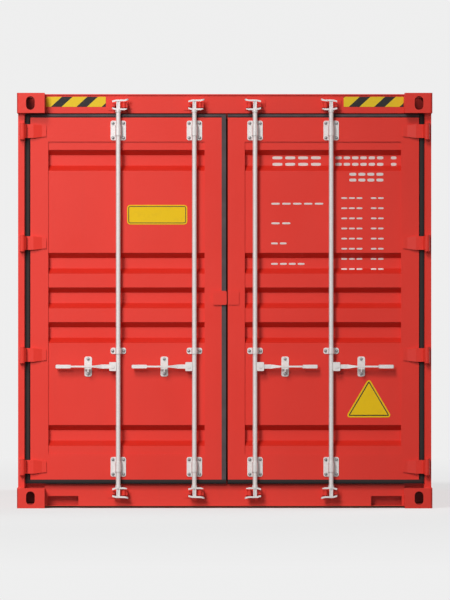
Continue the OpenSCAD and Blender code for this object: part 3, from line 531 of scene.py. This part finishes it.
def stripeFinish(name, startX):
    # Slanted stripes, counted from the left end of a strip
    finish, tree, shader = newFinish(name)
    place = objectPlace(tree)
    where = axes(tree, place)
    rise = combine(tree, "SUBTRACT", where["Z"], hazard["centreZ"] - hazard["size"][2] / 2)
    lean = combine(tree, "MULTIPLY", rise, hazard["lean"])
    along = combine(tree, "SUBTRACT", where["X"], startX + hazard["lead"])
    along = combine(tree, "SUBTRACT", along, lean)
    part = combine(tree, "FRACT", combine(tree, "DIVIDE", along, hazard["pitch"]))
    black = combine(tree, "LESS_THAN", part, hazard["blackShare"])
    colour = mixColour(tree, black, hazard["yellow"], hazard["black"])
    scuffs = patches(tree, place, hazard["scuffs"], (0.0, hazard["scuffMost"]))
    colour = mixColour(tree, scuffs, colour, hazard["worn"])
    tree.links.new(colour, shader.inputs["Base Color"])
    shader.inputs["Roughness"].default_value = hazard["roughness"]
    shader.inputs["Specular IOR Level"].default_value = hazard["shine"]
    addBump(tree, shader, noise(tree, place, *hazard["grain"]), *hazard["bump"])
    return finish


def addStrip(label, x):
    width, thick = hazard["size"][:2]
    mesh = bmesh.new()
    addPlate(mesh, (x, headerY - thick / 2, hazard["centreZ"]), hazard["size"],
             hazard["corner"], hazard["cornerSteps"])
    finishes["stripes" + label] = stripeFinish("hazardStripes" + label, x - width / 2)
    addPiece("hazardStrip" + label, mesh, "container", ["stripes" + label])


addStrip("Left", -hazard["centreX"])
addStrip("Right", hazard["centreX"])
print("hazard strips made")

blankSign = {
    "x": (-0.573, -0.220),
    "z": (1.666, 1.781),
    "thick": 0.0012,
    "round": 0.018,
    "roundSteps": 4,
    "rim": 0.007,           # yellow outside the dark line
    "line": 0.0045,
}
cornerSign = {
    "x": 0.8467,
    "half": 0.1365,         # half the length of its foot
    "z": (0.533, 0.765),
    "thick": 0.0012,
    "round": 0.027,
    "roundSteps": 6,
    "rim": 0.0085,
    "line": 0.006,
}


def addBorder(mesh, rim, line):
    # A dark line a little way in from the edge of a sign's front
    front = min(mesh.faces, key=lambda face: face.calc_center_median().y)
    bmesh.ops.inset_region(mesh, faces=[front], thickness=rim, use_even_offset=True)
    border = bmesh.ops.inset_region(mesh, faces=[front], thickness=line, use_even_offset=True)
    for face in border["faces"]:
        face.material_index = 1


def addBlankSign():
    left, right = blankSign["x"]
    low, high = blankSign["z"]
    thick = blankSign["thick"]
    mesh = bmesh.new()
    addPlate(mesh, ((left + right) / 2, panelY - thick / 2, (low + high) / 2),
             (right - left, thick, high - low), blankSign["round"], blankSign["roundSteps"])
    addBorder(mesh, blankSign["rim"], blankSign["line"])
    addPiece("blankSign", mesh, "left_door", ["yellow", "black"], smooth=False)


def addCornerSign():
    # A triangle that stands on its foot
    middle, half, thick = cornerSign["x"], cornerSign["half"], cornerSign["thick"]
    low, high = cornerSign["z"]
    mesh = bmesh.new()
    points = ((middle - half, low), (middle + half, low), (middle, high))
    mesh.faces.new([mesh.verts.new((x, panelY, z)) for x, z in points])
    front = bmesh.ops.extrude_face_region(mesh, geom=mesh.faces[:])["geom"]
    bmesh.ops.translate(mesh, vec=(0, -thick, 0), verts=vertsIn(front))
    soften(mesh, depthEdges(mesh.verts, thick), cornerSign["round"], cornerSign["roundSteps"])
    bmesh.ops.recalc_face_normals(mesh, faces=mesh.faces)
    addBorder(mesh, cornerSign["rim"], cornerSign["line"])
    addPiece("cornerSign", mesh, "right_door", ["yellow", "black"], smooth=False)


addBlankSign()
addCornerSign()
print("signs made")

marks = {
    "thick": 0.0007,
    "sink": 0.0003,         # how far the back of a dash lies in the sheet
    "columns": 4,           # of the mesh of one dash
    "rows": 6,
    "round": 0.18,          # how far its corners are drawn in, as a share of its height
    "gapShare": 0.24,       # share of the dashes' pitch
    # A run of dashes is its left end, its right end and the number of its dashes
    "topHeight": 0.017,
    "topRows": (2.058, 2.020),
    "topRuns": ((0.272, 0.574, 4), (0.645, 0.938, 6), (0.972, 1.014, 1)),
    "shortRows": (1.961, 1.927),
    "shortRun": (0.726, 0.938, 4),
    # The rows at the left start at one place: each is its height, right end and dashes
    "leftHeight": 0.011,
    "leftX": 0.267,
    "leftRows": ((1.788, 0.586, 5), (1.673, 0.393, 2), (1.555, 0.369, 2), (1.435, 0.475, 4)),
    "rightHeight": 0.0095,
    "rightRows": 8,
    "rightTop": 1.821,
    "rightPitch": 0.0595,
    "rightRuns": ((0.680, 0.814, 3), (0.854, 0.938, 2)),
}

panelData = frame["nodes"]["right_door_panel"].data
panelSkin = BVHTree.FromPolygons([vert.co for vert in panelData.vertices],
                                 [face.vertices[:] for face in panelData.polygons])


def skinY(x, z):
    # Where the front of the pressed panel lies
    ahead = Vector((x, cadLow.y - 1, z))
    return panelSkin.ray_cast(ahead, Vector((0, 1, 0)))[0].y


def addDash(mesh, x, z, width, height):
    # Paint that follows the pressing of the panel
    made = bmesh.ops.create_grid(mesh, x_segments=marks["columns"], y_segments=marks["rows"],
                                 size=0.5)["verts"]
    corners = [vert for vert in made if len(vert.link_faces) == 1]
    bmesh.ops.scale(mesh, vec=(1 - 2 * marks["round"] * height / width, 1 - marks["round"], 1),
                    verts=corners)
    standUp(mesh, made)
    bmesh.ops.scale(mesh, vec=(width, 1, height), verts=made)
    bmesh.ops.translate(mesh, vec=(x, 0, z), verts=made)
    for vert in made:
        vert.co.y = skinY(vert.co.x, vert.co.z) - marks["thick"]
    back = bmesh.ops.extrude_face_region(mesh, geom=facesOf(made))["geom"]
    bmesh.ops.translate(mesh, vec=(0, marks["thick"] + marks["sink"], 0), verts=vertsIn(back))


def addDashes(mesh, left, right, count, z, height):
    # A row of plain dashes between two sides
    pitch = (right - left) / count
    for number in range(count):
        addDash(mesh, left + (number + 0.5) * pitch, z, pitch * (1 - marks["gapShare"]), height)


def addMarks():
    # Groups of plain white dashes on the right door
    mesh = bmesh.new()
    for z in marks["topRows"]:
        for run in marks["topRuns"]:
            addDashes(mesh, *run, z, marks["topHeight"])
    for z in marks["shortRows"]:
        addDashes(mesh, *marks["shortRun"], z, marks["topHeight"])
    for z, right, count in marks["leftRows"]:
        addDashes(mesh, marks["leftX"], right, count, z, marks["leftHeight"])
    for row in range(marks["rightRows"]):
        z = marks["rightTop"] - row * marks["rightPitch"]
        for run in marks["rightRuns"]:
            addDashes(mesh, *run, z, marks["rightHeight"])
    bmesh.ops.recalc_face_normals(mesh, faces=mesh.faces)
    addPiece("plainMarks", mesh, "right_door", ["white"], smooth=False)


addMarks()
print("plain marks made")

# Each part of a bolt is its radius, length, number of sides and softened edge
boltParts = {
    "washer": (0.0095, 0.002, 16, 0.0),
    "head": (0.0075, 0.006, 6, 0.001),
    "stub": (0.0042, 0.004, 10, 0.0006),
}
plate = {
    "thick": 0.005,
    "endRise": 0.075,       # centres of the end brackets, from the bottom and top of the stiles
    "endDrop": 0.076,
    "endBoltX": 0.031,      # from a bracket's centre to its bolts
    "endBoltZ": 0.043,
    "midZ": 0.924,
    "midBoltX": 0.033,
    "retainerX": 0.177,     # from a bar to the bolts of its handle's retainer
    "retainerBoltZ": 0.044,
}


def addRound(mesh, x, y, z, radius, length, sides, edge):
    # A short cylinder that stands out of a plate towards the viewer
    made = bmesh.ops.create_cone(mesh, cap_ends=True, segments=sides, radius1=radius,
                                 radius2=radius, depth=length)["verts"]
    standUp(mesh, made)
    bmesh.ops.translate(mesh, vec=(x, y - length / 2, z), verts=made)
    if edge:
        tip = [vert for vert in made if vert.co.y < y - length / 2]
        soften(mesh, [rim for rim in edgesOf(tip) if all(vert in tip for vert in rim.verts)], edge)


def addBolt(mesh, x, y, z):
    for radius, length, sides, edge in boltParts.values():
        addRound(mesh, x, y, z, radius, length, sides, edge)
        y -= length


def addPlateBolts(mesh):
    # Bolts of the bracket and retainer plates on the right door
    places = {joint["name"]: joint["pos_m"] for joint in frame["joints"]}
    stileY = faceY - plate["thick"]
    sheetY = panelY - plate["thick"]
    for bar in ("inner", "outer"):
        x = places["right_" + bar + "_bar_turn"][0]
        handleZ = places["right_" + bar + "_handle_lift"][2]
        for z in (stileLow.z + plate["endRise"], stileHigh.z - plate["endDrop"]):
            for across in (-plate["endBoltX"], plate["endBoltX"]):
                for up in (-plate["endBoltZ"], plate["endBoltZ"]):
                    addBolt(mesh, x + across, stileY, z + up)
        for across in (-plate["midBoltX"], plate["midBoltX"]):
            addBolt(mesh, x + across, sheetY, plate["midZ"])
        for up in (-plate["retainerBoltZ"], plate["retainerBoltZ"]):
            addBolt(mesh, x + plate["retainerX"], sheetY, handleZ + up)


for door in ("left", "right"):
    bolts = bmesh.new()
    addPlateBolts(bolts)
    if door == "left":      # the same bolts, mirrored
        bmesh.ops.scale(bolts, vec=(-1, 1, 1), verts=bolts.verts)
        bmesh.ops.recalc_face_normals(bolts, faces=bolts.faces)
    addPiece(door + "PlateBolts", bolts, door + "_door", ["shadedBolt"])
print("bolts made")

weld = {
    "frameBead": 0.0045,    # radius
    "sheetBead": 0.0025,
    "sides": 10,
    "endRound": 0.4,        # share of a bead's radius that its ends lose
    "sink": 0.3,            # share of it that the middle of a sheet's bead lies below the sheet
    "postLip": 0.037,       # width of the part of a rear post that faces the viewer
    "headerTop": 0.006,     # the bead ends this far below the top of the header
    "wallSeams": (-1.668, -0.556, 0.556, 1.668),
    "roofSeams": (-2.090, -1.045, 0.0, 1.045, 2.090),
    "endSeams": (-0.500, 0.500),
}


def addBead(mesh, start, end, radius):
    # A weld bead from one point to another, its ends rounded off
    start, end = Vector(start), Vector(end)
    along = end - start
    turn = along.to_track_quat("Z", "Y").to_matrix().to_4x4()
    place = Matrix.Translation((start + end) / 2) @ turn
    made = bmesh.ops.create_cone(mesh, cap_ends=True, segments=weld["sides"], radius1=radius,
                                 radius2=radius, depth=along.length, matrix=place)["verts"]
    caps = [face for face in facesOf(made) if len(face.verts) == weld["sides"]]
    soften(mesh, [edge for cap in caps for edge in cap.edges], radius * weld["endRound"])


def addFrameWelds():
    # Where the corner castings meet the rear posts, the header and the sill
    mesh = bmesh.new()
    radius = weld["frameBead"]
    sideX, nearY, farY = postHigh.x, postLow.y, postHigh.y
    lipX = sideX - weld["postLip"]
    castingX = cadHigh.x - casting["size"][0]
    rows = ((sillLow.z, postLow.z), (postHigh.z, headerHigh.z - weld["headerTop"]))
    for side in (-1, 1):
        for z in (postLow.z, postHigh.z):
            addBead(mesh, (side * lipX, nearY, z), (side * sideX, nearY, z), radius)
            addBead(mesh, (side * sideX, nearY, z), (side * sideX, farY, z), radius)
        for low, high in rows:
            addBead(mesh, (side * castingX, headerY, low), (side * castingX, headerY, high),
                    radius)
    addPiece("frameWelds", mesh, "container", ["weld"])


def addSheetWelds():
    # Where the sheets of the side walls, the roof and the far end meet
    mesh = bmesh.new()
    radius = weld["sheetBead"]
    sink = radius * weld["sink"]
    for y in weld["wallSeams"]:
        for x in (wallLow.x + sink, wallHigh.x - sink):
            addBead(mesh, (x, y, wallLow.z), (x, y, wallHigh.z), radius)
    roofZ = roofHigh.z - sink
    for y in weld["roofSeams"]:
        addBead(mesh, (roofLow.x, y, roofZ), (roofHigh.x, y, roofZ), radius)
    endY = endHigh.y - sink
    for x in weld["endSeams"]:
        addBead(mesh, (x, endY, endLow.z), (x, endY, endHigh.z), radius)
    addPiece("sheetWelds", mesh, "container", ["weld"])


addFrameWelds()
addSheetWelds()
print("welds made")

vent = {
    "size": (0.032, 0.150, 0.096),      # depth, length and height
    "z": 2.235,
    "places": (-2.363, 2.363),
    "sink": 0.003,          # from the outside of the wall to the vent's face
    "edge": 0.006,
    "louvres": 4,
    "louvreOut": 0.006,
    "louvreLength": 0.78,   # share of the vent's length
    "louvreHeight": 0.38,   # share of the louvres' pitch
    "louvreEdge": 0.0015,
}


def addVents():
    # A louvred vent near each end of the side walls, set in a trough of the sheet
    mesh = bmesh.new()
    depth, length, height = vent["size"]
    pitch = height / (vent["louvres"] + 1)
    louvre = (vent["louvreOut"], length * vent["louvreLength"], pitch * vent["louvreHeight"])
    for side in (-1, 1):
        outer = side * (wallHigh.x - vent["sink"])
        for y in vent["places"]:
            addBlock(mesh, (outer - side * depth / 2, y, vent["z"]), vent["size"], vent["edge"])
            for number in range(1, vent["louvres"] + 1):
                z = vent["z"] - height / 2 + number * pitch
                addBlock(mesh, (outer, y, z), louvre, vent["louvreEdge"])
    addPiece("wallVents", mesh, "container", ["skin"])


addVents()
print("vents made")

lashing = {
    "places": (-2.25, -1.125, 0.0, 1.125, 2.25),
    "lug": (0.010, 0.034, 0.030),       # thickness, length and height
    "lugEdge": 0.003,
    "lugRise": 0.016,       # its centre above the floor
    "lugOut": 0.005,        # its centre past the edge of the floor boards
    "ring": 0.024,          # radius
    "ringIn": 0.004,        # its centre short of the edge of the floor boards
    "ringRise": 0.0144,     # above the lug's centre
    "ringSteps": 20,
    "wire": 0.005,
    "wireSides": 8,
}


def addRing(mesh, centre):
    # A ring that stands flat against its lug
    start = Matrix.Translation(Vector(centre) + Vector((0, lashing["ring"], 0)))
    profile = bmesh.ops.create_circle(mesh, cap_ends=False, segments=lashing["wireSides"],
                                      radius=lashing["wire"], matrix=start)["verts"]
    bmesh.ops.spin(mesh, geom=profile + edgesOf(profile), cent=centre, axis=(1, 0, 0),
                   angle=math.tau, steps=lashing["ringSteps"], use_merge=True)


def addRings():
    # Lashing rings along both edges of the floor
    mesh = bmesh.new()
    z = floorHigh.z + lashing["lugRise"]
    for side in (-1, 1):
        lugX = side * (floorHigh.x + lashing["lugOut"])
        ringX = side * (floorHigh.x - lashing["ringIn"])
        for y in lashing["places"]:
            addBlock(mesh, (lugX, y, z), lashing["lug"], lashing["lugEdge"])
            addRing(mesh, (ringX, y, z + lashing["ringRise"]))
    bmesh.ops.recalc_face_normals(mesh, faces=mesh.faces)
    addPiece("lashingRings", mesh, "container", ["steel"])


deck = {
    "screwFoot": 0.0055,    # radius
    "screwTop": 0.0044,
    "screwRise": 0.0006,
    "screwSides": 8,
    "across": (0.10, 0.42, 0.74, 1.06),
    "rows": 9,              # on each side of the middle row
    "rowPitch": 0.300,
    "sheetLength": 1.220,
    "joint": (0.0035, 0.0005),      # width and height; its lower half lies in the boards
    "jointEdge": 0.0001,
    "jointStart": 0.012,    # of a cross joint, from the middle of the container
    "jointEnd": 0.005,      # short of the edge of the floor boards
    "crossJoints": 2,       # on each side of the middle one
}


def addScrews():
    # Screw heads in the floor boards, in rows across the container
    mesh = bmesh.new()
    z = floorHigh.z + deck["screwRise"] / 2
    for side in (-1, 1):
        for x in deck["across"]:
            for row in range(-deck["rows"], deck["rows"] + 1):
                made = bmesh.ops.create_cone(mesh, cap_ends=True, segments=deck["screwSides"],
                                             radius1=deck["screwFoot"],
                                             radius2=deck["screwTop"],
                                             depth=deck["screwRise"])["verts"]
                bmesh.ops.translate(mesh, vec=(side * x, row * deck["rowPitch"], z), verts=made)
    addPiece("floorScrews", mesh, "container", ["steel"])


def addJoints():
    # Dark lines where the sheets of the floor meet
    mesh = bmesh.new()
    width, height = deck["joint"]
    lineX = (deck["across"][1] + deck["across"][2]) / 2
    start, end = deck["jointStart"], floorHigh.x - deck["jointEnd"]
    for side in (-1, 1):
        addBlock(mesh, (side * lineX, (floorLow.y + floorHigh.y) / 2, floorHigh.z),
                 (width, floorHigh.y - floorLow.y, height), deck["jointEdge"])
        for number in range(-deck["crossJoints"], deck["crossJoints"] + 1):
            addBlock(mesh, (side * (start + end) / 2, number * deck["sheetLength"], floorHigh.z),
                     (end - start, width, height), deck["jointEdge"])
    addPiece("floorJoints", mesh, "container", ["rubber"], smooth=False)


addRings()
addScrews()
addJoints()
print("floor fittings made")

ground = {
    "radius": 160.0,
    "sides": 96,
    "seen": (0.86, 0.86, 0.86),
    "albedo": (0.14, 0.14, 0.14),   # what the floor throws back on the container
    "shade": (0.15, 3, 0.55),
    "darker": 0.97,
    "roughness": 0.9,
    "bump": (0.02, 0.01),
    "stretch": (1, 0.55, 1),        # the shadow fades in an oval, longer along the container
    "near": 3.0,
    "far": 9.0,
    "nearShare": 0.7,
    "underInset": 0.02,     # the dark ground below the container starts this far in
    "underEdge": 0.06,
    "underFill": 0.45,      # keeps the base from going black in views from below
}


def viewRays(tree):
    # 1 for rays that the camera, a shiny surface or glass sends out
    rays = tree.nodes.new("ShaderNodeLightPath").outputs
    seen = combine(tree, "MAXIMUM", rays["Is Camera Ray"], rays["Is Glossy Ray"])
    return combine(tree, "MAXIMUM", seen, rays["Is Transmission Ray"])


def underMask(tree, place):
    # 1 below the container
    where = axes(tree, place)
    mask = 1.0
    for axis, side in zip("XY", cadHigh):
        end = side - ground["underInset"]
        reach = combine(tree, "ABSOLUTE", where[axis])
        inside = spread(tree, reach, (end - ground["underEdge"], end), (1.0, 0.0))
        mask = combine(tree, "MULTIPLY", mask, inside)
    return mask


def groundFinish():
    # Pale floor that keeps the shadow near the container and fades into the backdrop
    finish, tree, shader = newFinish("studioFloor")
    place = objectPlace(tree)
    shade = noise(tree, place, *ground["shade"])
    seen = viewRays(tree)
    darker = tuple(ground["darker"] * part for part in ground["seen"])
    pale = mixColour(tree, shade, ground["seen"], darker)
    tree.links.new(mixColour(tree, seen, ground["albedo"], pale), shader.inputs["Base Color"])
    shader.inputs["Roughness"].default_value = ground["roughness"]
    shader.inputs["Specular IOR Level"].default_value = 0.0
    addBump(tree, shader, shade, *ground["bump"])
    glow = tree.nodes.new("ShaderNodeEmission")
    glow.inputs["Color"].default_value = (*ground["seen"], 1)

    # The glow takes over away from the container, and not below it
    away = tree.nodes.new("ShaderNodeVectorMath")
    away.operation = "LENGTH"
    tree.links.new(objectPlace(tree, ground["stretch"]), away.inputs[0])
    fade = spread(tree, away.outputs["Value"], (ground["near"], ground["far"]),
                  (ground["nearShare"], 1.0))
    fade = combine(tree, "MULTIPLY", fade, seen)
    under = underMask(tree, place)
    fade = combine(tree, "MULTIPLY", fade, combine(tree, "SUBTRACT", 1.0, under))
    # Below the container the floor glows for bounced rays only: a painted fill light on the base
    bounced = tree.nodes.new("ShaderNodeLightPath").outputs["Is Diffuse Ray"]
    fill = combine(tree, "MULTIPLY", combine(tree, "MULTIPLY", bounced, under),
                   ground["underFill"])
    fade = combine(tree, "MAXIMUM", fade, fill)
    top = mixShader(tree, fade, shader.outputs["BSDF"], glow.outputs["Emission"])

    # Seen from below the floor lets the camera through to the base
    back = tree.nodes.new("ShaderNodeNewGeometry").outputs["Backfacing"]
    clear = tree.nodes.new("ShaderNodeBsdfTransparent")
    both = mixShader(tree, combine(tree, "MULTIPLY", back, seen), top, clear.outputs["BSDF"])
    tree.links.new(both, tree.nodes["Material Output"].inputs["Surface"])
    return finish


def addFloor():
    mesh = bmesh.new()
    bmesh.ops.create_circle(mesh, cap_ends=True, segments=ground["sides"],
                            radius=ground["radius"])
    data = bpy.data.meshes.new("studioFloor")
    mesh.to_mesh(data)
    mesh.free()
    data.materials.append(groundFinish())
    floorPiece = addObject("studioFloor", data)


studio = {
    "skyLight": 0.22,
    "backdrop": (0.86, 0.86, 0.86),
    "keyWay": (-0.40, -1.0, 0.96),      # towards the main light
    "keyPower": 1.54,
    "keyAngle": 18.0,
    "backWay": (0.75, 0.90, 0.90),
    "backPower": 1.2,
    "backAngle": 40.0,
    "doorPlace": (-5.0, -16.0, 6.5),
    "doorAim": (-2.55, 1.9),    # X and Z, left of the doors, so that they darken to the right
    "doorCone": 38.5,
    "doorBlend": 1.0,
    "doorSoft": 2.2,
    "doorPower": 5300,
}


def addBackground(tree, colour, strength):
    light = tree.nodes.new("ShaderNodeBackground")
    light.inputs["Color"].default_value = (*colour, 1)
    light.inputs["Strength"].default_value = strength
    return light.outputs["Background"]


def addWorld():
    # A dim sky that lights the container, and the backdrop that the camera sees
    world = bpy.data.worlds.new("studio")
    bpy.context.scene.world = world
    world.use_nodes = True
    tree = world.node_tree
    tree.nodes.clear()
    skyLight = addBackground(tree, (1, 1, 1), studio["skyLight"])
    backdrop = addBackground(tree, studio["backdrop"], 1)
    output = tree.nodes.new("ShaderNodeOutputWorld")
    tree.links.new(mixShader(tree, viewRays(tree), skyLight, backdrop),
                   output.inputs["Surface"])


def addLamp(name, kind, power, way):
    # way points from what is lit towards the lamp
    data = bpy.data.lights.new(name, kind)
    data.energy = power
    lamp = addObject(name, data)
    lamp.rotation_euler = Vector(way).to_track_quat("Z", "Y").to_euler()
    return lamp


def addLamps():
    for name in ("key", "back"):
        lamp = addLamp(name + "Lamp", "SUN", studio[name + "Power"], studio[name + "Way"])
        lamp.data.angle = math.radians(studio[name + "Angle"])

    # A wide soft spot from the upper left lights the doors
    aimX, aimZ = studio["doorAim"]
    place = Vector(studio["doorPlace"])
    lamp = addLamp("doorLamp", "SPOT", studio["doorPower"], place - Vector((aimX, cadLow.y, aimZ)))
    lamp.location = place
    lamp.data.spot_size = math.radians(studio["doorCone"])
    lamp.data.spot_blend = studio["doorBlend"]
    lamp.data.shadow_soft_size = studio["doorSoft"]


view = {
    "metresPerPixel": 0.005866,     # at the doors
    "imageHeight": 600,
    "centreX": 0.0018,
    "centreZ": 1.2225,
    "distance": 60.0,
    "farthest": 400,
    "sensor": 36.0,
}


def addCamera():
    # The photograph looks square at the doors from far off
    lens = bpy.data.cameras.new("camera")
    lens.sensor_width = view["sensor"]
    lens.lens = view["distance"] * view["sensor"] / (view["imageHeight"] * view["metresPerPixel"])
    lens.clip_end = view["farthest"]
    camera = addObject("camera", lens)
    camera.location = (view["centreX"], cadLow.y - view["distance"], view["centreZ"])
    camera.rotation_euler = (math.radians(90), 0, 0)
    bpy.context.scene.camera = camera


addFloor()
addWorld()
addLamps()
addCamera()
bpy.context.scene.view_settings.view_transform = "Standard"
print("studio made")
